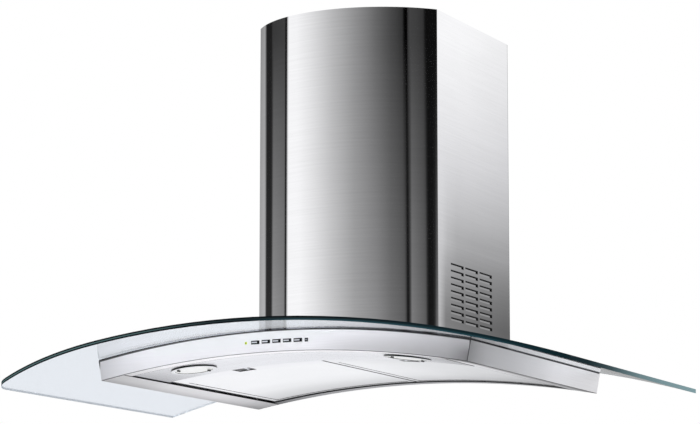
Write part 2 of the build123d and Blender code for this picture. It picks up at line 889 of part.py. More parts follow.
def make_hanger_plate():
    plate = box(-hanger_half_width, hanger_half_width, -hanger_sheet, 0, hanger_bottom, hanger_top)
    for x in (-fixing_spacing_x / 2, fixing_spacing_x / 2):
        for z in (-fixing_spacing_z / 2, fixing_spacing_z / 2):
            plate = plate - rod(fixing_hole_radius, -cut, cut, (0, 1, 0), (x, 0, fixing_height + z))
    for x, z in hanger_screw_places():
        plate = plate - rod(screw_radius + screw_hole_gap, -cut, cut, (0, 1, 0), (x, 0, z))
    return plate


# ---- fan scroll, wheel and motor ----------------------------------------------------------
def scroll_plan(inset, over=0.0):
    """Spiral of three quarter arcs that opens upward into the outlet neck, past it by over."""
    first = scroll_start_radius - inset
    second = first + scroll_step
    third = second + scroll_step
    rear = third + scroll_step
    top = box_top - box_sheet - wheel_z + over
    cutoff = scroll_cutoff + inset

    def bend(radius, centre_x, centre_y, angle):
        return (centre_x + radius * cos(radians(angle)), centre_y + radius * sin(radians(angle)))

    return make_face([
        ThreePointArc((0, first), bend(first, 0, 0, 135), (-first, 0)),
        ThreePointArc((-first, 0), bend(second, scroll_step, 0, 225), (scroll_step, -second)),
        ThreePointArc((scroll_step, -second), bend(third, scroll_step, scroll_step, 315),
                      (scroll_step + third, scroll_step)),
        Line((scroll_step + third, scroll_step), (scroll_step + third, top)),
        Line((scroll_step + third, top), (cutoff, top)),
        Line((cutoff, top), (cutoff, first)),
        Line((cutoff, first), (0, first)),
    ])


def across(face, half):
    """Extrude a face drawn as (y, z) from x = -half to x = +half about the wheel axis."""
    plane = Plane(origin=(-half, wheel_y, wheel_z), x_dir=(0, 1, 0), z_dir=(1, 0, 0))
    return extrude(plane * face, 2 * half)


def wheel_rod(radius, start, end):
    return rod(radius, start, end, (1, 0, 0), (0, wheel_y, wheel_z))


def make_scroll():
    shell = across(scroll_plan(0), scroll_half_width)
    shell = shell - across(scroll_plan(scroll_sheet, cut), scroll_half_width - scroll_sheet)
    return shell - wheel_rod(inlet_hole_radius, -far, far)


def make_inlet_rings():
    rings = []
    for side in (-1, 1):
        start, end = sorted((side * scroll_half_width, side * (scroll_half_width + inlet_ring_thickness)))
        rings.append(wheel_rod(inlet_ring_outer, start, end) - wheel_rod(inlet_ring_inner, -far, far))
    return group(rings)


def make_wheel():
    """Forward-curved blades between two end rings, carried by a middle disc and a hub."""
    half = wheel_width / 2
    blade_middle = wheel_radius - blade_depth / 2
    blade = Pos(blade_middle, 0) * Rectangle(blade_depth, blade_thickness, rotation=blade_lean)
    turns = [i * 360 / blade_count for i in range(blade_count)]
    wheel = across(Sketch() + [Rot(0, 0, turn) * blade for turn in turns], half)
    inner = wheel_rod(wheel_radius - blade_depth, -far, far)
    for start in (-half, half - wheel_ring):
        wheel = wheel + (wheel_rod(wheel_radius, start, start + wheel_ring) - inner)
    wheel = wheel + wheel_rod(wheel_radius - wheel_disc, -wheel_disc / 2, wheel_disc / 2)
    wheel = wheel + wheel_rod(hub_radius, -hub_back, hub_front)
    return wheel - wheel_rod(shaft_radius, -far, far)


def make_shaft():
    return wheel_rod(shaft_radius, -shaft_front_end, shaft_rear_end)


def make_motor():
    body = wheel_rod(motor_radius, motor_start, motor_start + motor_length)
    body = chamfer(body.edges().filter_by(GeomType.CIRCLE), motor_chamfer)
    return body - wheel_rod(shaft_radius + shaft_clearance, -far, far)


def motor_screw_places():
    """Angle of each bracket arm; its motor screw and its scroll screw lie on it."""
    return [90, 210, 330]


def make_motor_bracket():
    start = motor_start + motor_length
    end = start + motor_bracket_sheet
    bracket = wheel_rod(motor_bracket_outer, start, end) - wheel_rod(motor_bracket_hole, -far, far)
    for angle in motor_screw_places():
        arm = box(start, end, motor_radius, motor_bracket_reach, -motor_bracket_arm / 2,
                  motor_bracket_arm / 2)
        leg = box(scroll_half_width, end, motor_bracket_reach - motor_bracket_sheet, motor_bracket_reach,
                  -motor_bracket_arm / 2, motor_bracket_arm / 2)
        limb = Pos(0, wheel_y, wheel_z) * Rot(angle, 0, 0) * (arm + leg)
        bracket = bracket + limb
    for angle in motor_screw_places():
        bracket = bracket - motor_screw(angle, screw_radius + screw_hole_gap, start - cut, end + cut)
    return bracket


def motor_screw(angle, radius, start, end):
    y = wheel_y + motor_screw_circle * cos(radians(angle))
    z = wheel_z + motor_screw_circle * sin(radians(angle))
    return rod(radius, start, end, (1, 0, 0), (0, y, z))


# ---- outlet collar and dampers ------------------------------------------------------------
def collar_rod(radius, start, end):
    return rod(radius, start, end, (0, 0, 1), (0, collar_y, 0))


def pin_height():
    return collar_z + damper_height


def make_collar():
    """Outlet pipe on a screwed base, with a raised stop that the duct's end meets above the screws."""
    base = box(-collar_base_half_x, collar_base_half_x, collar_y - collar_base_half_y,
               collar_y + collar_base_half_y, box_top, collar_z)
    pipe = collar_rod(collar_radius, box_top, collar_z + collar_height)
    stop = collar_rod(collar_stop_radius, box_top, collar_z + collar_stop_height)
    collar = base + pipe + stop - collar_rod(collar_radius - collar_wall, -far, far)
    for x, y in collar_screw_places():
        collar = collar - rod(screw_radius + screw_hole_gap, -far, far, (0, 0, 1), (x, y, 0))
    return collar - rod(damper_pin_radius, -far, far, (1, 0, 0), (0, collar_y, pin_height()))


def collar_screw_places():
    x = collar_base_half_x - screw_head_radius - collar_screw_margin
    y = collar_base_half_y - screw_head_radius - collar_screw_margin
    return [(sx * x, collar_y + sy * y) for sx in (-1, 1) for sy in (-1, 1)]


def make_damper_pin():
    return rod(damper_pin_radius, -collar_radius, collar_radius, (1, 0, 0), (0, collar_y, pin_height()))


def make_damper(side):
    """Half-round flap on one side of the pin, with two of the four knuckles that turn on it."""
    reach = collar_radius - collar_wall - damper_wall_gap
    level = pin_height()
    bottom = level - damper_thickness / 2
    top = level + damper_thickness / 2
    near = sorted((collar_y + side * damper_centre_gap, collar_y + side * far))
    flap = collar_rod(reach, bottom, top) & box(-far, far, *near, bottom - cut, top + cut)
    pitch = damper_knuckle_span / 2
    first = -damper_knuckle_span + (pitch if side > 0 else 0)
    for start in (first, first + 2 * pitch):
        end = start + pitch - damper_knuckle_gap
        knuckle = rod(damper_knuckle_radius, start, end, (1, 0, 0), (0, collar_y, level))
        arm = box(start, end, *sorted((collar_y, collar_y + side * 2 * damper_centre_gap)), bottom, top)
        flap = flap + knuckle + arm
    return flap - rod(damper_pin_radius + damper_pin_clearance, -far, far, (1, 0, 0), (0, collar_y, level))


# ---- electrical pieces on the blower box --------------------------------------------------
def make_capacitor():
    y = -box_front - capacitor_radius
    can = rod(capacitor_radius, 0, capacitor_length, (0, 0, 1), (capacitor_x, y, capacitor_z))
    return chamfer(can.edges().sort_by(Axis.Z)[-1], capacitor_chamfer)


def make_terminal_box():
    half = terminal_half_width
    shell = box(-half, half, -box_front - terminal_depth, -box_front, terminal_bottom,
                terminal_bottom + terminal_height)
    wall = terminal_wall
    inside = box(-half + wall, half - wall, -box_front - terminal_depth - cut, -box_front - wall,
                 terminal_bottom + wall, terminal_bottom + terminal_height - wall)
    return shell - inside - gland_rod(gland_radius, -cut, cut)


def gland_rod(radius, start, end):
    top = terminal_bottom + terminal_height
    return rod(radius, top + start, top + end, (0, 0, 1), (0, -box_front - terminal_depth / 2, 0))


def make_terminal_lid():
    half = terminal_half_width
    front = -box_front - terminal_depth
    return box(-half, half, front - lid_thickness, front, terminal_bottom, terminal_bottom + terminal_height)


def make_cable_gland():
    body = gland_rod(gland_radius, -terminal_wall, gland_height)
    nut = gland_rod(gland_nut_radius, 0, gland_nut_height)
    return body + nut - gland_rod(gland_bore_radius, -far, far)


# ---- screws of the blower -----------------------------------------------------------------
def make_blower_screws():
    screws = []
    for x, z in hanger_screw_places():
        seat = -hanger_sheet - box_sheet
        shank = rod(screw_radius, seat - screw_head_height / 2, 0, (0, 1, 0), (x, 0, z))
        head = rod(screw_head_radius, seat - screw_head_height, seat, (0, 1, 0), (x, 0, z))
        screws.append(shank + head)
    for x, y in collar_screw_places():
        shank = rod(screw_radius, box_top - box_sheet, collar_z + screw_head_height / 2, (0, 0, 1), (x, y, 0))
        head = rod(screw_head_radius, collar_z, collar_z + screw_head_height, (0, 0, 1), (x, y, 0))
        screws.append(shank + head)
    seat = motor_start + motor_length + motor_bracket_sheet
    for angle in motor_screw_places():
        shank = motor_screw(angle, screw_radius, seat - motor_bracket_sheet, seat + screw_head_height / 2)
        screws.append(shank + motor_screw(angle, screw_head_radius, seat, seat + screw_head_height))
    return group(screws)


# ---- writing the pieces -------------------------------------------------------------------
def save_glass_and_body():
    save("glass_canopy", make_glass())
    save("body_gasket", make_body_gasket())
    save("clamp_gasket", make_clamp_gasket())
    save("glass_bushes", make_glass_bushes())
    save("glass_bolts", make_glass_bolts())
    save("glass_bolt_nuts", make_glass_bolt_nuts())
    save("body_top_plate", make_top_plate())
    save("body_front_panel", make_front_panel())
    save_pair("body_side", make_side_panel())
    save("body_back_panel", make_back_panel())
    save("lamp_panel", make_lamp_panel())


def save_lamps_and_controls():
    save_pair("lamp_bezel", at_lamp(make_lamp_bezel(), lamp_x))
    save_pair("lamp_lens", at_lamp(make_lamp_lens(), lamp_x))
    save_pair("lamp_housing", at_lamp(make_lamp_housing(), lamp_x))
    save_pair("lamp_led", at_lamp(make_lamp_led(), lamp_x))
    save("control_housing", make_control_housing())
    save("control_board", make_control_board())
    save("tact_switches", make_tact_switches())
    save("indicator_lens", make_indicator())
    for name, x, width, height in button_places():
        save(name, make_button(x, width, height))


def save_filters():
    save_pair("filter_frame", make_filter_frame())
    save_pair("filter_mesh", make_filter_mesh())
    save_pair("filter_latch", make_latch_slider())
    save_pair("latch_spring", make_latch_spring())


def save_chimney():
    save("chimney_lower", make_chimney_lower())
    save("chimney_upper", make_chimney_upper())
    save_pair("chimney_bracket", make_chimney_bracket())
    save("chimney_screws", make_chimney_screws())


def save_blower():
    save("blower_box", make_blower_box())
    save("hanger_plate", make_hanger_plate())
    save("scroll_housing", make_scroll())
    save("inlet_rings", make_inlet_rings())
    save("fan_wheel", make_wheel())
    save("motor_shaft", make_shaft())
    save("motor", make_motor())
    save("motor_bracket", make_motor_bracket())
    save("outlet_collar", make_collar())
    save("damper_pin", make_damper_pin())
    save("damper_flap_front", make_damper(-1))
    save("damper_flap_rear", make_damper(1))
    save("capacitor", make_capacitor())
    save("terminal_box", make_terminal_box())
    save("terminal_lid", make_terminal_lid())
    save("cable_gland", make_cable_gland())
    save("blower_screws", make_blower_screws())


os.makedirs("parts", exist_ok=True)
save_glass_and_body()
save_lamps_and_controls()
save_filters()
save_chimney()
save_blower()
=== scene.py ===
import math

import bpy
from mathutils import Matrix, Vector


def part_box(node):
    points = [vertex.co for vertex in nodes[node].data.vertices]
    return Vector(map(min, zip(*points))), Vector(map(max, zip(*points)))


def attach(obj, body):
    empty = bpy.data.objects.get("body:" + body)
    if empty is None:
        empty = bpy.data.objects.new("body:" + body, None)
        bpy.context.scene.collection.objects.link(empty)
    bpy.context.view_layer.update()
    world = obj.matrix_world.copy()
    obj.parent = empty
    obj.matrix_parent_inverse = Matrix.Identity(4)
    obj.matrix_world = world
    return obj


# Looks of the curved glass range hood. Metres, in the CAD frame: the origin is the middle of the
# wall fixing holes, +X is to the right of a person facing the hood, +Y points into the wall and
# +Z is up.

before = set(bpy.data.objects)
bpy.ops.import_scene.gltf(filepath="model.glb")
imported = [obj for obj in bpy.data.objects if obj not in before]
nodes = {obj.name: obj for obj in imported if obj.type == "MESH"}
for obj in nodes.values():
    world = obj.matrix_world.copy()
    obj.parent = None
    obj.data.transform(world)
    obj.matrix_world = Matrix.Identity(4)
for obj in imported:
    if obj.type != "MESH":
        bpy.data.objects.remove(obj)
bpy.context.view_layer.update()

# ---- real sizes that the looks are worked out from ---------------------------------------
GLASS_THICK = 0.006
ARCH_RADIUS = 1.566
GLASS_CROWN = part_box("glass_canopy")[1].z - GLASS_THICK
ARCH_CENTRE = GLASS_CROWN - ARCH_RADIUS
# These two are levels under the glass, measured square to its arch.
BODY_BOTTOM = -0.0315
GASKET_BOTTOM = -0.0012
FLANGE_EDGE = 0.253
FILTER_EDGE = 0.2485
CHIMNEY_HALF = 0.14875

# ---- camera, fitted to the photograph ----------------------------------------------------
CAMERA_PLACE = (1.8898, -4.1190, -0.6337)
CAMERA_YAW = 26.091
CAMERA_PITCH = 9.348
CAMERA_LENS = 149.13
SENSOR_WIDTH = 36.0


def make_camera():
    data = bpy.data.cameras.new("camera")
    data.lens = CAMERA_LENS
    data.sensor_width = SENSOR_WIDTH
    camera = bpy.data.objects.new("camera", data)
    camera.location = CAMERA_PLACE
    camera.rotation_euler = (math.radians(90 + CAMERA_PITCH), 0, math.radians(CAMERA_YAW))
    bpy.context.scene.collection.objects.link(camera)
    bpy.context.scene.camera = camera


# ---- node helpers ------------------------------------------------------------------------
# Sockets of the Mix node when it mixes colours.
MIX_FACTOR, MIX_FIRST, MIX_SECOND, MIX_RESULT = 0, 6, 7, 2


class Graph:
    """Short words for building a node tree. A mask is a value that is 1 in it and 0 outside."""

    def __init__(self, tree, output):
        self.tree = tree
        self.tree.nodes.clear()
        self.surface = self.add(output).inputs[0]

    def add(self, kind, inputs=None, **settings):
        node = self.tree.nodes.new(kind)
        for name, value in settings.items():
            setattr(node, name, value)
        for name, value in (inputs or {}).items():
            self.feed(node.inputs[name], value)
        return node

    def feed(self, socket, value):
        if isinstance(value, bpy.types.NodeSocket):
            self.tree.links.new(value, socket)
        elif socket.type == "RGBA" and isinstance(value, float):
            socket.default_value = (value, value, value, 1.0)
        else:
            socket.default_value = value

    def math(self, operation, a, b=0.0):
        return self.add("ShaderNodeMath", {0: a, 1: b}, operation=operation).outputs[0]

    def absolute(self, value):
        return self.math("ABSOLUTE", value)

    def product(self, *factors):
        """All the factors multiplied, which for masks is where all of them hold."""
        total = factors[0]
        for factor in factors[1:]:
            total = self.math("MULTIPLY", total, factor)
        return total

    def length(self, a, b):
        squares = self.math("ADD", self.product(a, a), self.product(b, b))
        return self.math("SQRT", squares)

    def either(self, first, *others):
        """The largest value, which for masks is where any of them holds."""
        for other in others:
            first = self.math("MAXIMUM", first, other)
        return first

    def remap(self, value, low, high, to_low=0.0, to_high=1.0):
        inputs = {0: value, 1: low, 2: high, 3: to_low, 4: to_high}
        return self.add("ShaderNodeMapRange", inputs).outputs[0]

    def dim(self, mask, brightness):
        """A factor that is 1 outside the mask and a low brightness inside it."""
        return self.remap(mask, 0.0, 1.0, 1.0, brightness)

    def ramp(self, value, stops):
        """A brightness that follows a value from 0 to 1; stops are (place, brightness)."""
        node = self.add("ShaderNodeValToRGB", {0: value})
        elements = node.color_ramp.elements
        while len(elements) > 1:
            elements.remove(elements[-1])
        for i, (place, brightness) in enumerate(stops):
            element = elements[0] if i == 0 else elements.new(place)
            element.position = place
            element.color = (brightness, brightness, brightness, 1.0)
        return node.outputs[0]

    def along(self, value, stops):
        """A brightness that follows a value in metres; stops are (metres, brightness)."""
        low, high = stops[0][0], stops[-1][0]
        places = [((at - low) / (high - low), brightness) for at, brightness in stops]
        return self.ramp(self.remap(value, low, high), places)

    def mix(self, factor, first, second):
        node = self.add("ShaderNodeMix", data_type="RGBA")
        self.feed(node.inputs[MIX_FACTOR], factor)
        self.feed(node.inputs[MIX_FIRST], first)
        self.feed(node.inputs[MIX_SECOND], second)
        return node.outputs[MIX_RESULT]

    def scaled(self, colour, brightness):
        inputs = {0: colour[:3], "Scale": brightness}
        return self.add("ShaderNodeVectorMath", inputs, operation="SCALE").outputs[0]

    def noise(self, vector, scale, detail=3.0, roughness=0.55):
        inputs = {"Vector": vector, "Scale": scale, "Detail": detail, "Roughness": roughness}
        return self.add("ShaderNodeTexNoise", inputs).outputs[0]

    def place(self, scale=(1.0, 1.0, 1.0)):
        """Object coordinates, which are the CAD frame in metres, stretched by scale."""
        coordinates = self.add("ShaderNodeTexCoord").outputs["Object"]
        inputs = {"Vector": coordinates, "Scale": scale}
        return self.add("ShaderNodeMapping", inputs).outputs[0]

    def axis(self, name):
        """One object coordinate, in metres in the CAD frame."""
        coordinates = self.add("ShaderNodeTexCoord").outputs["Object"]
        return self.add("ShaderNodeSeparateXYZ", {0: coordinates}).outputs[name]

    def arch_level(self):
        """Distance above the underside of the glass, measured square to its arch."""
        rise = self.math("SUBTRACT", self.axis("Z"), ARCH_CENTRE)
        return self.math("SUBTRACT", self.length(self.axis("X"), rise), ARCH_RADIUS)

    def faces(self, name, low, high):
        """Mask of the faces that look along an axis of their own body, forwards or back.

        The cosine of the angle to that axis is low where the mask starts and high where it is
        full. With low above high, it is a mask of the faces that look away from the axis."""
        normal = self.add("ShaderNodeNewGeometry").outputs["True Normal"]
        own = self.add("ShaderNodeVectorTransform", {0: normal}, vector_type="NORMAL",
                       convert_from="WORLD", convert_to="OBJECT").outputs[0]
        cosine = self.absolute(self.add("ShaderNodeSeparateXYZ", {0: own}).outputs[name])
        return self.remap(cosine, low, high)

    def backfacing(self):
        return self.add("ShaderNodeNewGeometry").outputs["Backfacing"]

    def bump(self, height, distance):
        inputs = {"Height": height, "Distance": distance, "Strength": 1.0}
        return self.add("ShaderNodeBump", inputs).outputs[0]


def srgb(r, g, b):
    """A colour given as it looks on screen, 0 to 255, as the linear colour a shader takes."""
    def linear(value):
        value = value / 255
        return value / 12.92 if value <= 0.04045 else ((value + 0.055) / 1.055) ** 2.4
    return (linear(r), linear(g), linear(b), 1.0)


def material(name):
    made = bpy.data.materials.new(name)
    made.use_nodes = True
    graph = Graph(made.node_tree, "ShaderNodeOutputMaterial")
    shader = graph.add("ShaderNodeBsdfPrincipled")
    graph.feed(graph.surface, shader.outputs[0])
    return made, graph, shader


def dress(made, *names):
    """Give a material to CAD nodes."""
    for name in names:
        materials = nodes[name].data.materials
        materials.clear()
        materials.append(made)


# ---- metals and plastics -----------------------------------------------------------------
# Where a noise from 0 to 1 starts and ends to act: on tones, and on roughness.
TONE_SPAN = (0.3, 0.7)
ROUGH_SPAN = (0.2, 0.8)

STREAK_TONE = (0.958, 1.018)
CLOUD_SCALE = 9.0
CLOUD_TONE = (-0.021, 0.009)


def brushed(name, colour, roughness, grain, depth, shade, grazing=False):
    """Brushed steel: fine streaks along the axis where grain is smallest.

    shade takes the graph and gives a painted brightness, which stands in for the broad light and
    shade that brushed sheet shows. With grazing, that painted shade also dims the reflection where
    the sheet is seen edge-on."""
    made, graph, shader = material(name)
    streaks = graph.noise(graph.place(grain), 1.0, 4.0, 0.7)
    clouds = graph.noise(graph.place(), CLOUD_SCALE, 2.0)
    tone = graph.math("ADD", graph.remap(streaks, *TONE_SPAN, *STREAK_TONE),
                      graph.remap(clouds, *TONE_SPAN, *CLOUD_TONE))
    grey = graph.scaled(colour, graph.product(tone, shade(graph)))
    graph.feed(shader.inputs["Base Color"], grey)
    shader.inputs["Metallic"].default_value = 1.0
    if grazing:
        graph.feed(shader.inputs["Specular Tint"], grey)
    spread = graph.remap(streaks, *ROUGH_SPAN, roughness * 0.85, roughness * 1.15)
    graph.feed(shader.inputs["Roughness"], spread)
    graph.feed(shader.inputs["Normal"], graph.bump(streaks, depth))
    return made


def plain_metal(name, colour, roughness, scale=60.0):
    made, graph, shader = material(name)
    speckle = graph.noise(graph.place(), scale)
    tone = graph.remap(speckle, *TONE_SPAN, 0.92, 1.0)
    graph.feed(shader.inputs["Base Color"], graph.scaled(colour, tone))
    shader.inputs["Metallic"].default_value = 1.0
    spread = graph.remap(speckle, *ROUGH_SPAN, roughness * 0.8, roughness * 1.2)
    graph.feed(shader.inputs["Roughness"], spread)
    return made


PLASTIC_GRAIN_SCALE = 900.0
PLASTIC_GRAIN_DEPTH = 0.00004
PLASTIC_WEAR_SCALE = 25.0


def plastic(name, colour, roughness):
    made, graph, shader = material(name)
    grain = graph.noise(graph.place(), PLASTIC_GRAIN_SCALE, 2.0)
    wear = graph.noise(graph.place(), PLASTIC_WEAR_SCALE)
    tone = graph.remap(wear, *TONE_SPAN, 0.9, 1.05)
    graph.feed(shader.inputs["Base Color"], graph.scaled(colour, tone))
    spread = graph.remap(wear, *ROUGH_SPAN, roughness * 0.85, roughness * 1.15)
    graph.feed(shader.inputs["Roughness"], spread)
    graph.feed(shader.inputs["Normal"], graph.bump(grain, PLASTIC_GRAIN_DEPTH))
    return made


# ---- broad painted light and shade on the sheet metal ------------------------------------
# Rows of (place in metres, painted brightness). An across row goes from left to right, a level
# row upwards, and the others from the front to the wall.
STRIP_ACROSS = [
    (-0.26, 0.62), (-0.22, 0.80), (-0.17, 0.96), (-0.10, 1.0), (0.14, 1.0), (0.20, 0.82),
    (0.26, 0.66),
]
FRONT_ACROSS = [
    (-0.297, 0.62), (-0.25, 0.85), (-0.20, 0.97), (-0.16, 1.0), (0.07, 1.0), (0.12, 0.95),
    (0.17, 0.83), (0.23, 0.66), (0.297, 0.48),
]
FRONT_LEVEL = [(BODY_BOTTOM, 0.99), (-0.014, 1.05), (-0.001, 1.09)]
SIDE_WALL = [
    (-0.49, 0.38), (-0.45, 0.52), (-0.43, 0.58), (-0.33, 0.71), (-0.23, 0.87), (-0.18, 0.96),
    (-0.13, 0.99), (0.0, 1.0),
]
LEFT_FLANGE = [
    (-0.49, 0.70), (-0.43, 0.76), (-0.38, 0.78), (-0.33, 0.86), (-0.18, 0.88), (-0.08, 0.76),
    (0.0, 0.56),
]
RIGHT_FLANGE = [
    (-0.49, 0.50), (-0.43, 1.0), (-0.33, 0.95), (-0.23, 0.82), (-0.13, 0.70), (0.0, 0.60),
]
FLANGE_ACROSS = [
    (-0.297, 0.70), (-0.290, 0.76), (-0.275, 0.94), (-0.262, 1.0), (0.253, 1.0), (0.262, 0.95),
    (0.275, 0.72), (0.285, 0.55), (0.297, 0.65),
]
UNDERSIDE = [
    (-0.495, 1.0), (-0.455, 1.0), (-0.43, 0.98), (-0.10, 0.98), (-0.03, 0.62), (0.0, 0.55),
]
FILTER = [
    (-0.37, 1.0), (-0.18, 0.98), (-0.12, 0.90), (-0.09, 0.81), (-0.06, 0.72), (-0.03, 0.64),
    (0.0, 0.50),
]
FILTER_ACROSS = [(-0.26, 1.0), (0.0, 1.0), (0.04, 0.94), (0.12, 0.84), (0.26, 0.74)]
CHIMNEY_LEVEL = [
    (-0.107, 1.00), (-0.079, 0.88), (-0.042, 0.71), (-0.004, 0.63), (0.033, 0.64),
    (0.071, 0.78), (0.109, 0.87), (0.147, 0.94), (0.185, 0.98), (0.197, 1.00),
]
# How far the level row above reaches: not at the front of the chimney's side, fully at its rear.
CHIMNEY_REACH = [
    (-0.265, 0.0), (-0.252, 0.10), (-0.235, 0.50), (-0.20, 0.85), (-0.14, 0.97), (0.0, 1.0),
]
INNER_CHIMNEY_LEVEL = [(0.0, 0.66), (0.10, 0.70), (0.36, 0.97), (0.40, 0.97)]


# Masks by place for the painted shade: where each starts and where it is full, in metres.
BOTTOM_LINE = (BODY_BOTTOM + 0.0010, BODY_BOTTOM + 0.0007)
TOP_LINE_ACROSS = (-0.297, -0.05)
TOP_LINE_BLUR = (0.0, 0.0004)
FRONT_LOW_LEVEL = (-0.007, -0.026)
FRONT_LOW_RIGHT = (0.05, 0.12)
FRONT_CORNER_LEVEL = (-0.004, -0.020)
FRONT_CORNER_RIGHT = (0.262, 0.292)
FRONT_RIGHT_END = (0.2952, 0.2957)
FRONT_LEFT_END = (-0.2936, -0.2942)
LEFT_TO_RIGHT = (-0.1, 0.1)
FLANGE_INNER_WALL = (0.262, 0.260)
FLANGE_LIP = (FLANGE_EDGE + 0.0018, FLANGE_EDGE + 0.0013)
OFF_THE_WALL = (-0.003, -0.004)
FILTER_OUTER_SIDE = (FILTER_EDGE - 0.0014, FILTER_EDGE - 0.0010)
FILTER_INNER_SIDE = (0.0020, 0.0016)
FILTER_CORNER_RIGHT = (0.08, 0.24)
FILTER_CORNER_REAR = (-0.30, -0.06)
CHIMNEY_SHEET = (0.1470, 0.1474)
CHIMNEY_BACK_EDGE = (-0.0016, -0.0010)
CHIMNEY_LOW = (0.02, -0.09)
CHIMNEY_FOOT = (-0.262, -0.242)
CHIMNEY_LOW_REAR = (-0.24, -0.02)
CHIMNEY_REAR = (-0.16, 0.0)
# Depth of the shadow under the gasket.
SHADOW_LEFT_END = 0.0026
SHADOW_FRONT = 0.0011
SHADOW_SIDE = 0.0003

# Masks by facing for the painted shade: the cosine where each starts and where it is full.
HALF = (0.5, 0.6)
MOSTLY = (0.6, 0.7)
AWAY = (0.7, 0.6)
SQUARE = (0.90, 0.95)
FLAT = (0.95, 0.97)


def bottom_line(graph):
    """Mask of a thin painted shadow line along a panel's folded lower edge."""
    return graph.remap(graph.arch_level(), *BOTTOM_LINE)


def top_line(graph, least):
    """Mask of the shadow under the gasket, deepest at the left end and least from the middle."""
    depth = graph.remap(graph.axis("X"), *TOP_LINE_ACROSS, SHADOW_LEFT_END, least)
    under = graph.math("SUBTRACT", graph.arch_level(), GASKET_BOTTOM)
    return graph.remap(graph.math("ADD", under, depth), *TOP_LINE_BLUR)


def front_shade(graph):
    """Painted light and shade on the front panel: brightest in the middle, dark low down at the
    right and in the right corner, with painted shadow lines round it. Its lip is as bright as the
    strip behind it."""
    x, level = graph.axis("X"), graph.arch_level()
    low = graph.product(graph.remap(level, *FRONT_LOW_LEVEL), graph.remap(x, *FRONT_LOW_RIGHT))
    corner = graph.product(graph.remap(level, *FRONT_CORNER_LEVEL),
                           graph.remap(x, *FRONT_CORNER_RIGHT))
    ends = graph.either(graph.remap(x, *FRONT_RIGHT_END), graph.remap(x, *FRONT_LEFT_END))
    lines = graph.either(bottom_line(graph), top_line(graph, SHADOW_FRONT), ends)
    lines = graph.product(graph.faces("Y", *HALF), lines)
    face = graph.product(graph.along(x, FRONT_ACROSS), graph.along(level, FRONT_LEVEL),
                         graph.dim(low, 0.80), graph.dim(corner, 0.70), graph.dim(lines, 0.15))
    shade = graph.mix(graph.faces("Z", *HALF), face, graph.along(x, STRIP_ACROSS))
    return graph.product(shade, graph.dim(graph.faces("X", *MOSTLY), 0.1))


def side_shade(graph):
    """Painted light and shade on the side panels: the wall darkens to the front, and the flanges
    under it have rows of their own. The flange's inner lip and the cut ends are painted black, as
    the shade in the gaps."""
    x, y = graph.axis("X"), graph.axis("Y")
    out = graph.absolute(x)
    lines = graph.either(bottom_line(graph), top_line(graph, SHADOW_SIDE))
    wall = graph.product(graph.along(y, SIDE_WALL), graph.dim(lines, 0.20))
    under = graph.faces("Z", *HALF)
    flange = graph.mix(graph.remap(x, *LEFT_TO_RIGHT), graph.along(y, LEFT_FLANGE),
                       graph.along(y, RIGHT_FLANGE))
    flange = graph.product(flange, graph.along(x, FLANGE_ACROSS))
    lip = graph.product(under, graph.remap(out, *FLANGE_LIP))
    inner = graph.product(graph.remap(out, *FLANGE_INNER_WALL), graph.faces("X", *HALF))
    cut = graph.either(inner, lip, graph.faces("Y", *MOSTLY))
    return graph.product(graph.mix(under, wall, flange), graph.dim(cut, 0.05))


def cut_edges(graph):
    """Upright cut edges are painted black as the shade in the narrow gaps, but not the back face
    on the wall.
    """
    off_the_wall = graph.remap(graph.axis("Y"), *OFF_THE_WALL)
    return graph.dim(graph.product(graph.faces("Z", *AWAY), off_the_wall), 0.06)


def under_shade(graph):
    """Painted shade on the lamp panel and back panel: darker towards both ends and the wall."""
    return graph.product(graph.along(graph.axis("Y"), UNDERSIDE),
                         graph.along(graph.axis("X"), STRIP_ACROSS), cut_edges(graph))


def filter_shade(graph):
    """Painted shade on the filters: darker towards the wall and the rear right corner, with sides
    painted black as the shade in the gaps.
    """
    x, y = graph.axis("X"), graph.axis("Y")
    out = graph.absolute(x)
    corner = graph.product(graph.remap(x, *FILTER_CORNER_RIGHT),
                           graph.remap(y, *FILTER_CORNER_REAR))
    sides = graph.either(graph.remap(out, *FILTER_OUTER_SIDE),
                         graph.remap(out, *FILTER_INNER_SIDE))
    return graph.product(graph.along(y, FILTER), graph.along(x, FILTER_ACROSS),
                         graph.dim(corner, 0.66), graph.dim(sides, 0.12), cut_edges(graph))


def chimney_shade(graph):
    """Painted shade on the chimney: the cut edges of the vents and of the tube are painted dark,
    as the shadow they lie in, and the flat sides darken towards their foot and their rear."""
    x, y, z = graph.axis("X"), graph.axis("Y"), graph.axis("Z")
    flat = graph.faces("X", *FLAT)
    vent_ends = graph.product(graph.remap(graph.absolute(x), *CHIMNEY_SHEET),
                              graph.faces("Y", *SQUARE))
    back_edge = graph.product(graph.remap(y, *CHIMNEY_BACK_EDGE), flat)
    low = graph.product(flat, graph.remap(z, *CHIMNEY_LOW))
    foot = graph.product(low, graph.remap(y, *CHIMNEY_FOOT))
    low_rear = graph.product(low, graph.remap(y, *CHIMNEY_LOW_REAR))
    rear = graph.product(flat, graph.remap(y, *CHIMNEY_REAR))
    reach = graph.product(flat, graph.along(y, CHIMNEY_REACH))
    fall = graph.mix(reach, 1.0, graph.along(z, CHIMNEY_LEVEL))
    return graph.product(graph.dim(graph.faces("Z", *MOSTLY), 0.06), fall,
                         graph.dim(vent_ends, 0.05), graph.dim(back_edge, 0.25),
                         graph.dim(foot, 0.45), graph.dim(low_rear, 0.58),
                         graph.dim(rear, 0.92))


def inner_chimney_shade(graph):
    """Painted shade: the inner chimney is darker low down, where it is seen through the vents."""
    return graph.along(graph.axis("Z"), INNER_CHIMNEY_LEVEL)
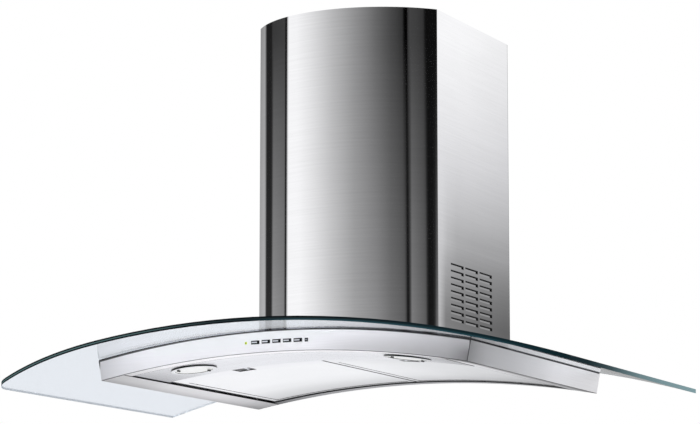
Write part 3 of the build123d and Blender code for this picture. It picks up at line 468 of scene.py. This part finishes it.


# ---- glass -------------------------------------------------------------------------------
# Rows of (level in the edge's thickness, share) and (place along the edge, share), for the
# painted light on the edge.
EDGE_HIGHLIGHT_LEVEL = [
    (0.0, 0.0), (0.0018, 0.0), (0.0026, 1.0), (0.0034, 1.0), (0.0042, 0.0), (0.006, 0.0),
]
EDGE_HIGHLIGHT_ACROSS = [(-0.45, 0.75), (-0.20, 0.65), (-0.13, 0.45), (-0.05, 0.12), (0.45, 0.0)]
EDGE_LOWER_LEVEL = [(0.0, 1.0), (0.0016, 0.8), (0.0028, 0.0), (0.006, 0.0)]
EDGE_LOWER_ACROSS = [
    (-0.45, 0.0), (0.0, 0.0), (0.08, 1.0), (0.36, 1.0), (0.40, 0.2), (0.45, 0.0),
]
EDGE_RIGHT_END = [
    (-0.44, 0.0), (-0.36, 0.15), (-0.30, 0.40), (-0.24, 0.65), (-0.15, 0.85), (0.0, 1.0),
]
EDGE_INSIDE_LEVEL = [(0.0, 0.0), (0.0008, 1.0), (0.006, 1.0)]
EDGE_FACING = (0.75, 0.7)
EDGE_END_FACING = (0.80, 0.92)
RIGHT_HALF = (0.0, 0.1)
DARK_TO_TEAL = (0.10, 0.40)
GLASS_IOR = 1.15


def clear_glass():
    """Clear sheet with a polished edge, painted dark green to stand in for the light that runs far
    inside it.

    Along the edge lie a painted paler highlight at the left and a painted teal lower half at the
    right, and the right end is painted pale. Where an edge is seen from inside the sheet, it is
    painted nearly white."""
    made, graph, shader = material("canopy_glass")
    x, y, level = graph.axis("X"), graph.axis("Y"), graph.arch_level()
    edge = graph.faces("Z", *EDGE_FACING)
    # Painted highlight: a paler line along the left of the edge.
    edge_highlight = graph.product(graph.along(level, EDGE_HIGHLIGHT_LEVEL),
                           graph.along(x, EDGE_HIGHLIGHT_ACROSS))
    lower = graph.product(graph.along(level, EDGE_LOWER_LEVEL), graph.along(x, EDGE_LOWER_ACROSS))
    right_end = graph.product(graph.faces("X", *EDGE_END_FACING),
                              graph.remap(x, *RIGHT_HALF), graph.along(y, EDGE_RIGHT_END))
    colour = graph.mix(graph.remap(x, *DARK_TO_TEAL), srgb(4, 11, 16), srgb(8, 34, 40))
    colour = graph.mix(edge_highlight, colour, srgb(84, 112, 112))
    colour = graph.mix(lower, colour, srgb(34, 66, 74))
    colour = graph.mix(right_end, colour, srgb(132, 160, 164))
    # Painted light: an edge seen from inside the sheet is nearly white.
    inside = graph.mix(graph.along(level, EDGE_INSIDE_LEVEL), srgb(170, 180, 190),
                       srgb(236, 241, 245))
    colour = graph.mix(graph.backfacing(), colour, inside)
    graph.feed(shader.inputs["Base Color"], graph.mix(edge, srgb(228, 233, 240), colour))
    graph.feed(shader.inputs["Transmission Weight"], graph.dim(edge, 0.0))
    graph.feed(shader.inputs["Roughness"], graph.remap(edge, 0.0, 1.0, 0.0, 0.80))
    shader.inputs["IOR"].default_value = GLASS_IOR
    return made


# ---- small things ------------------------------------------------------------------------
BLACK = srgb(8, 8, 9)
BEZEL_UPRIGHT = (0.80, 0.60)


def bezel_chrome():
    """Bright ring whose upright faces are painted black, a painted reflection of a dark room."""
    made, graph, shader = material("bezel_chrome")
    speckle = graph.noise(graph.place(), 100.0)
    shine = graph.mix(speckle, srgb(226, 227, 230), srgb(244, 245, 247))
    # Painted reflection: the upright faces are black.
    upright = graph.faces("Z", *BEZEL_UPRIGHT)
    graph.feed(shader.inputs["Base Color"], graph.mix(upright, shine, BLACK))
    shader.inputs["Metallic"].default_value = 1.0
    graph.feed(shader.inputs["Roughness"], graph.remap(speckle, *ROUGH_SPAN, 0.10, 0.16))
    return made


SMALL_BUTTON_WIDTH = 0.008
BAR_LEFT_MARGIN = 0.0016
BAR_RIGHT_MARGIN = 0.0042
BAR_HALF_HEIGHT = 0.0012
BAR_BLUR = 0.0006
BAR_FACING = (0.8, 0.9)


def button_cap(name):
    """Black key cap with a pale symbol bar on its face, nearer its left end."""
    made, graph, shader = material(name + "_cap")
    low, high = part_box(name)
    small = high.x - low.x < SMALL_BUTTON_WIDTH
    left = low.x + BAR_LEFT_MARGIN
    right = high.x - (BAR_LEFT_MARGIN if small else BAR_RIGHT_MARGIN)
    x = graph.axis("X")
    rise = graph.absolute(graph.math("SUBTRACT", graph.axis("Z"), (low.z + high.z) / 2))
    bar = graph.product(graph.remap(x, left, left + BAR_BLUR),
                        graph.remap(x, right, right - BAR_BLUR),
                        graph.remap(rise, BAR_HALF_HEIGHT, BAR_HALF_HEIGHT - BAR_BLUR),
                        graph.faces("Y", *BAR_FACING))
    wear = graph.noise(graph.place(), 60.0)
    worn_white = graph.mix(wear, srgb(190, 192, 196), srgb(240, 241, 243))
    pale = srgb(150, 152, 156) if small else worn_white
    graph.feed(shader.inputs["Base Color"], graph.mix(bar, BLACK, pale))
    graph.feed(shader.inputs["Roughness"], graph.remap(wear, *ROUGH_SPAN, 0.45, 0.60))
    shader.inputs["Specular IOR Level"].default_value = 0.2
    return made


INDICATOR_RING = (0.0006, 0.0014)
INDICATOR_GLOW = 0.35


def glowing_green():
    """Lit indicator: a dark green middle in a yellow-green ring of light."""
    made, graph, shader = material("green_indicator")
    low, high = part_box("indicator_lens")
    across = graph.math("SUBTRACT", graph.axis("X"), (low.x + high.x) / 2)
    rise = graph.math("SUBTRACT", graph.axis("Z"), (low.z + high.z) / 2)
    out = graph.length(across, rise)
    ring = graph.mix(graph.remap(out, *INDICATOR_RING), srgb(70, 96, 16), srgb(196, 214, 60))
    graph.feed(shader.inputs["Base Color"], ring)
    shader.inputs["Roughness"].default_value = 0.25
    graph.feed(shader.inputs["Emission Color"], ring)
    shader.inputs["Emission Strength"].default_value = INDICATOR_GLOW
    return made


LATCH_RIB_PITCH = 0.0088
LATCH_RIB_DEPTH = 0.0003
LATCH_RIB_CREST = (0.3, 0.6)
LATCH_HIGHLIGHT_PLACE = 0.1290
LATCH_HIGHLIGHT_WIDTH = (0.0028, 0.0018)


def ribbed_latch():
    """Black thumb slider with grip ribs across it, lighter in patches on their crests, and a pale
    painted highlight stripe along it.
    """
    made, graph, shader = material("ribbed_latch")
    wave = graph.math("SINE", graph.product(graph.axis("Y"), 2 * math.pi / LATCH_RIB_PITCH))
    rib = graph.remap(wave, *LATCH_RIB_CREST)
    patches = graph.noise(graph.place(), 120.0)
    light_ribs = graph.product(rib, graph.remap(patches, *TONE_SPAN, 0.2, 0.5))
    # Painted highlight: a pale stripe at one place along the slider.
    out = graph.math("SUBTRACT", graph.absolute(graph.axis("X")), LATCH_HIGHLIGHT_PLACE)
    highlight_stripe = graph.remap(graph.absolute(out), *LATCH_HIGHLIGHT_WIDTH)
    light = graph.either(light_ribs, highlight_stripe)
    graph.feed(shader.inputs["Base Color"], graph.mix(light, BLACK, srgb(225, 226, 230)))
    graph.feed(shader.inputs["Roughness"], graph.remap(patches, *ROUGH_SPAN, 0.4, 0.6))
    graph.feed(shader.inputs["Normal"], graph.bump(rib, LATCH_RIB_DEPTH))
    return made


# ---- which material goes where -----------------------------------------------------------
# How much the noise is squeezed along each axis. Streaks run along the axes where it is least.
FRONT_GRAIN = (6.0, 6.0, 900.0)
SIDE_GRAIN = (900.0, 6.0, 900.0)
UNDER_GRAIN = (6.0, 900.0, 6.0)
CHIMNEY_GRAIN = (6.0, 6.0, 300.0)
FILTER_GRAIN = (6.0, 600.0, 6.0)
MESH_GRAIN = (400.0, 400.0, 400.0)


def dress_metals():
    dress(brushed("front_steel", srgb(255, 253, 255), 0.55, FRONT_GRAIN, 0.00002, front_shade),
          "body_front_panel")
    dress(brushed("side_steel", srgb(253, 252, 253), 0.42, SIDE_GRAIN, 0.00002, side_shade,
                  grazing=True), "body_side_left", "body_side_right")
    dress(brushed("under_steel", srgb(252, 252, 254), 0.28, UNDER_GRAIN, 0.00002, under_shade,
                  grazing=True), "body_back_panel", "lamp_panel")
    dress(brushed("chimney_steel", srgb(248, 248, 250), 0.035, CHIMNEY_GRAIN, 0.0000006,
                  chimney_shade), "chimney_lower")
    dress(brushed("inner_chimney_steel", srgb(238, 238, 240), 0.06, CHIMNEY_GRAIN, 0.000001,
                  inner_chimney_shade), "chimney_upper")
    dress(brushed("aluminium_frame", srgb(253, 253, 255), 0.30, FILTER_GRAIN, 0.00001,
                  filter_shade), "filter_frame_left", "filter_frame_right")
    dress(brushed("aluminium_mesh", srgb(254, 254, 255), 0.40, MESH_GRAIN, 0.00002,
                  filter_shade), "filter_mesh_left", "filter_mesh_right")
    dress(plain_metal("galvanised_steel", srgb(190, 194, 198), 0.45),
          "body_top_plate", "lamp_housing_left", "lamp_housing_right", "chimney_bracket_left",
          "chimney_bracket_right", "blower_box", "hanger_plate", "scroll_housing",
          "inlet_rings", "motor_bracket")
    dress(plain_metal("zinc_screws", srgb(185, 186, 190), 0.30, 300.0),
          "glass_bolts", "glass_bolt_nuts", "chimney_screws", "blower_screws", "damper_pin",
          "motor_shaft")
    dress(plain_metal("spring_steel", srgb(120, 122, 126), 0.25, 200.0),
          "latch_spring_left", "latch_spring_right")
    dress(bezel_chrome(), "lamp_bezel_left", "lamp_bezel_right")


def dress_the_rest():
    """Glass, plastics and rubber, with the two small pieces that share them."""
    rubber = plastic("black_rubber", srgb(7, 7, 8), 0.90)
    black = plastic("black_plastic", srgb(22, 22, 24), 0.40)
    dress(clear_glass(), "glass_canopy")
    dress(rubber, "body_gasket", "clamp_gasket", "glass_bushes")
    dress(black, "control_housing", "tact_switches", "cable_gland")
    dress(plastic("lamp_lens", srgb(244, 244, 242), 0.25), "lamp_lens_left", "lamp_lens_right")
    dress(plastic("led_phosphor", srgb(236, 222, 150), 0.50), "lamp_led_left", "lamp_led_right")
    dress(plastic("motor_paint", srgb(52, 54, 58), 0.40), "motor")
    dress(plastic("grey_plastic", srgb(132, 134, 138), 0.50),
          "outlet_collar", "damper_flap_front", "damper_flap_rear", "capacitor", "terminal_box",
          "terminal_lid")
    dress(plastic("fan_plastic", srgb(58, 60, 63), 0.45), "fan_wheel")
    dress(plastic("circuit_board", srgb(24, 84, 48), 0.35), "control_board")
    dress(ribbed_latch(), "filter_latch_left", "filter_latch_right")
    dress(glowing_green(), "indicator_lens")
    for name in ("button_1", "button_2", "button_3", "button_4", "button_5", "button_small"):
        dress(button_cap(name), name)
    # Black strips in the vents are painted shadow.
    add_vent_shadow_strips(rubber)
    add_lamp_studs(black)


# ---- small pieces that the scene adds ----------------------------------------------------
def add_piece(name, shapes, made):
    """One piece of the hood's own body, made of several shapes."""
    corners, faces = [], []
    for shape_corners, shape_faces in shapes:
        start = len(corners)
        corners += shape_corners
        faces += [tuple(start + i for i in face) for face in shape_faces]
    mesh = bpy.data.meshes.new(name)
    mesh.from_pydata(corners, [], faces)
    piece = bpy.data.objects.new(name, mesh)
    bpy.context.scene.collection.objects.link(piece)
    mesh.materials.append(made)
    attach(piece, "hood")


def box_shape(low, high):
    corners = [(x, y, z) for x in (low[0], high[0]) for y in (low[1], high[1])
               for z in (low[2], high[2])]
    faces = [(0, 1, 3, 2), (4, 6, 7, 5), (0, 4, 5, 1), (2, 3, 7, 6), (0, 2, 6, 4), (1, 5, 7, 3)]
    return corners, faces


VENT_COLUMNS = 3
VENT_ROWS = 9
VENT_LENGTH = 0.047
VENT_HEIGHT = 0.005
VENT_FIRST_Y = -0.223
VENT_COLUMN_PITCH = 0.0533
VENT_LOWEST = 0.0383
VENT_ROW_PITCH = 0.01015
SHADOW_STRIP_INSET = (0.0009, 0.0004)
SHADOW_STRIP_TOP = 0.0015
SHADOW_STRIP_REAR = 0.0022


def add_vent_shadow_strips(made):
    """Dark strips along the top and rear of each vent, a painted shadow in the corner of the slot.
    """
    shapes = []
    for side in (-1, 1):
        inner, outer = sorted(side * (CHIMNEY_HALF - inset) for inset in SHADOW_STRIP_INSET)
        for row in range(VENT_ROWS):
            for column in range(VENT_COLUMNS):
                front = VENT_FIRST_Y + column * VENT_COLUMN_PITCH
                rear = front + VENT_LENGTH
                middle = GLASS_CROWN + VENT_LOWEST + row * VENT_ROW_PITCH
                bottom, top = middle - VENT_HEIGHT / 2, middle + VENT_HEIGHT / 2
                shapes.append(box_shape((inner, front, top - SHADOW_STRIP_TOP), (outer, rear, top)))
                shapes.append(box_shape((inner, rear - SHADOW_STRIP_REAR, bottom),
                                        (outer, rear, top - SHADOW_STRIP_TOP)))
    add_piece("vent_shadow_strips", shapes, made)


STUD_REACH = 0.0150
STUD_REAR_PER_REACH = 1.24
STUD_SINK = 0.0010
STUD_HALF_WIDTH = 0.0012
STUD_HALF_LENGTH = 0.0030
STUD_HEIGHT = 0.0022


def add_lamp_studs(made):
    """Two small studs on each lamp lens, at opposite sides of it."""
    shapes = []
    for name in ("lamp_lens_left", "lamp_lens_right"):
        low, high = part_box(name)
        middle = (low + high) / 2
        slope = -middle.x / ARCH_RADIUS
        for reach in (-STUD_REACH, STUD_REACH):
            x, y = middle.x + reach, middle.y + STUD_REAR_PER_REACH * reach
            z = middle.z + slope * reach - STUD_SINK
            shapes.append(box_shape(
                (x - STUD_HALF_WIDTH, y - STUD_HALF_LENGTH, z - STUD_HEIGHT),
                (x + STUD_HALF_WIDTH, y + STUD_HALF_LENGTH, z)))
    add_piece("lamp_studs", shapes, made)


# ---- surroundings ------------------------------------------------------------------------
FLOOR_DROP = 1.5
FLOOR_HALF = 30.0


def make_floor():
    """Pale floor, clear from below."""
    corners = [(x * FLOOR_HALF, y * FLOOR_HALF, -FLOOR_DROP)
               for x, y in ((-1, -1), (1, -1), (1, 1), (-1, 1))]
    mesh = bpy.data.meshes.new("floor")
    mesh.from_pydata(corners, [], [(0, 1, 2, 3)])
    floor = bpy.data.objects.new("floor", mesh)
    bpy.context.scene.collection.objects.link(floor)
    made, graph, shader = material("pale_floor")
    shader.inputs["Base Color"].default_value = srgb(248, 248, 248)
    shader.inputs["Roughness"].default_value = 0.6
    clear = graph.add("ShaderNodeBsdfTransparent").outputs[0]
    inputs = {0: graph.backfacing(), 1: shader.outputs[0], 2: clear}
    graph.feed(graph.surface, graph.add("ShaderNodeMixShader", inputs).outputs[0])
    mesh.materials.append(made)


# What the polished chimney mirrors: for each direction, in degrees to the right of straight
# towards the viewer, how bright the studio is there. The high row is seen near the chimney's top
# and the low row near its foot. A big soft box fades out across the front between dark cards, and
# a white wall is to the right.
STUDIO_HIGH = [
    (-180, 0.29), (-127, 0.29), (-114, 0.36), (-109.5, 0.014), (-98.5, 0.014), (-96.5, 0.043),
    (-76, 0.052), (-75.2, 0.00), (-72.2, 0.00), (-71.4, 1.00), (-60, 0.98), (-45, 0.82),
    (-20, 0.50), (0, 0.30), (19, 0.145), (27, 0.098), (33, 0.069), (38, 0.052), (44, 0.030),
    (45.2, 0.00), (48.8, 0.00), (49.4, 0.060), (57, 0.049), (63, 0.036), (65, 0.004),
    (88, 0.006), (92, 0.80), (140, 1.00), (180, 1.00),
]
STUDIO_LOW = [
    (-180, 0.39), (-127, 0.39), (-116, 0.46), (-111, 0.47), (-108, 0.026), (-96.5, 0.026),
    (-94, 0.30), (-76, 0.24), (-75.2, 0.02), (-72.2, 0.02), (-71.4, 1.00), (-55, 1.00),
    (-40, 0.85), (-20, 0.60), (0, 0.38), (20, 0.27), (33, 0.17), (40, 0.14), (46, 0.11),
    (47.2, 0.01), (50.4, 0.01), (51.2, 0.22), (57, 0.17), (64.5, 0.115), (66.5, 0.008),
    (73, 0.01), (75, 0.22), (92, 0.24), (140, 0.46), (180, 0.46),
]
# Between the two rows is their mean, but for the wall at the right, which stays light.
RIGHT_WALL_FROM = (1.6, 2.2)
RIGHT_WALL = (0.76, 0.76, 0.77, 1.0)
# Sines of the heights where one brightness goes over into the next.
LOW_TO_MIDDLE = (0.125, 0.175)
MIDDLE_TO_HIGH = (0.175, 0.222)
HIGH_TO_CEILING = (0.32, 0.42)
LOW_TO_FLOOR = (-0.01, -0.05)
CEILING_DARKENS = (0.38, 0.62)
CEILING_GREY = (0.50, 0.505, 0.515, 1.0)
WHITE = (1.0, 1.0, 1.0, 1.0)
SOFT_WHITE = (0.95, 0.96, 0.98, 1.0)


def studio_row(graph, azimuth, row):
    around = graph.remap(azimuth, -math.pi, math.pi)
    return graph.ramp(around, [((degrees + 180) / 360, brightness) for degrees, brightness in row])


def make_world():
    """White to the camera and through the glass, a studio to mirrors, soft light to the rest."""
    world = bpy.data.worlds.new("studio")
    bpy.context.scene.world = world
    world.use_nodes = True
    graph = Graph(world.node_tree, "ShaderNodeOutputWorld")
    direction = graph.add("ShaderNodeTexCoord").outputs["Generated"]
    parts = graph.add("ShaderNodeSeparateXYZ", {0: direction}).outputs
    azimuth = graph.math("ARCTAN2", parts["X"], graph.product(parts["Y"], -1.0))
    rise = parts["Z"]
    high = studio_row(graph, azimuth, STUDIO_HIGH)
    low = studio_row(graph, azimuth, STUDIO_LOW)
    middle = graph.mix(graph.remap(azimuth, *RIGHT_WALL_FROM), graph.mix(0.5, low, high),
                       RIGHT_WALL)
    cards = graph.mix(graph.remap(rise, *LOW_TO_MIDDLE), low, middle)
    cards = graph.mix(graph.remap(rise, *MIDDLE_TO_HIGH), cards, high)
    ceiling = graph.mix(graph.remap(rise, *CEILING_DARKENS), WHITE, CEILING_GREY)
    beyond = graph.either(graph.remap(rise, *HIGH_TO_CEILING), graph.remap(rise, *LOW_TO_FLOOR))
    mirrored = graph.mix(beyond, cards, ceiling)
    path = graph.add("ShaderNodeLightPath").outputs
    colour = graph.mix(path["Is Glossy Ray"], SOFT_WHITE, mirrored)
    colour = graph.mix(path["Is Transmission Ray"], colour, WHITE)
    colour = graph.mix(path["Is Camera Ray"], colour, WHITE)
    background = graph.add("ShaderNodeBackground", {"Color": colour, "Strength": 1.0})
    graph.feed(graph.surface, background.outputs[0])


LAMP_PLACE = (-1.6, -2.4, 2.6)
LAMP_AIM = (0, -0.3, 0)
LAMP_SIZE = 1.6
LAMP_POWER = 60


def make_lamp():
    data = bpy.data.lights.new("key_lamp", "AREA")
    data.shape = "SQUARE"
    data.size = LAMP_SIZE
    data.energy = LAMP_POWER
    lamp = bpy.data.objects.new("key_lamp", data)
    lamp.location = LAMP_PLACE
    ray = Vector(LAMP_AIM) - Vector(LAMP_PLACE)
    lamp.rotation_euler = ray.to_track_quat("-Z", "Y").to_euler()
    bpy.context.scene.collection.objects.link(lamp)


# ---- the scene ---------------------------------------------------------------------------
make_camera()
dress_metals()
dress_the_rest()
make_floor()
make_world()
make_lamp()
bpy.context.scene.view_settings.view_transform = "Standard"
